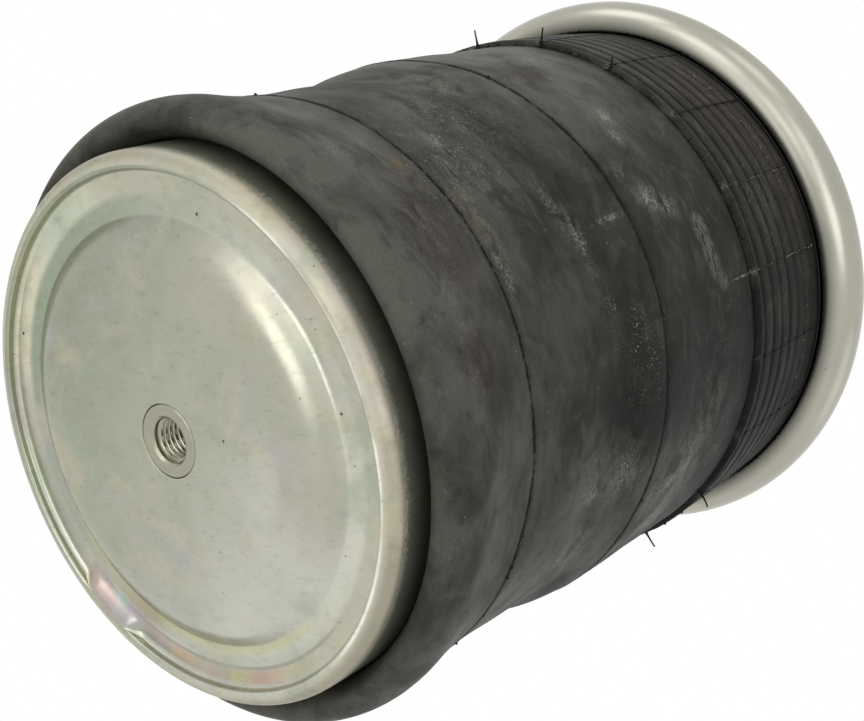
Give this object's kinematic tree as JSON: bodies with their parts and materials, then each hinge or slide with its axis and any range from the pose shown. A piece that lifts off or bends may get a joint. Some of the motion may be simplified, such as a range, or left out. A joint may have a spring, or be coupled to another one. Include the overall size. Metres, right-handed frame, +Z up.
{
  "type": "air suspension bellows",
  "caption": "Rolling lobe air spring: rubber bellows crimped into a round steel bead plate, rolled over a drawn steel piston with a tapped base.",
  "frame": {"origin": "centre of the piston's flat mounting face, the plateau round the M16 thread", "axes": "+Z up the bellows' axis from the piston to the bead plate; +X through the two studs; +Y from the middle towards the air inlet"},
  "size_m": [0.248, 0.248, 0.3307],
  "materials": {
    "zinc_plated_steel": "zinc plated, pale yellow-green passivation, smooth",
    "galvanised_steel": "satin galvanised",
    "turned_steel": "zinc plated over fine turning marks",
    "plain_steel": "bare, oiled",
    "bead_wire": "bronze coated wire hoop",
    "bellows_rubber": "matt moulded rubber with pale scuffs",
    "bumper_rubber": "matt moulded rubber"
  },
  "bodies": {
    "piston": {"piston_cup": "zinc_plated_steel", "base_insert": "turned_steel", "support_tube": "plain_steel", "piston_top": "zinc_plated_steel", "top_insert": "plain_steel", "lower_bead": "bellows_rubber", "lower_bead_wire": "bead_wire", "bead_retainer": "zinc_plated_steel", "closure_seal": "bumper_rubber", "bumper_base": "plain_steel", "bumper": "bumper_rubber", "closure_washer": "turned_steel", "closure_screw": "turned_steel", "bellows_inner_wall": "bellows_rubber"},
    "lobe": {"bellows_lobe": "bellows_rubber"},
    "top": {"bellows_sleeve": "bellows_rubber", "bellows_neck": "bellows_rubber", "upper_bead": "bellows_rubber", "upper_bead_wire": "bead_wire", "bead_plate": "galvanised_steel", "stud_backers": "plain_steel", "mounting_studs": "turned_steel", "inlet_bush": "turned_steel"}
  },
  "joints": [
    {"name": "lobe_roll", "type": "slide", "parent": "piston", "child": "lobe", "axis": [0, 0, 1], "range_m": [-0.015, 0.075], "stiffness_N_per_m": 4000, "springref_m": 0.0077, "deforming": ["bellows_inner_wall"]},
    {"name": "plate_lift", "type": "slide", "parent": "lobe", "child": "top", "axis": [0, 0, 1], "range_m": [-0.015, 0.075], "stiffness_N_per_m": 4000, "springref_m": 0.0074, "deforming": ["bellows_sleeve"]}
  ],
  "couplings": [
    {"joint": "lobe_roll", "follows": "plate_lift", "ratio": 1}
  ]
}
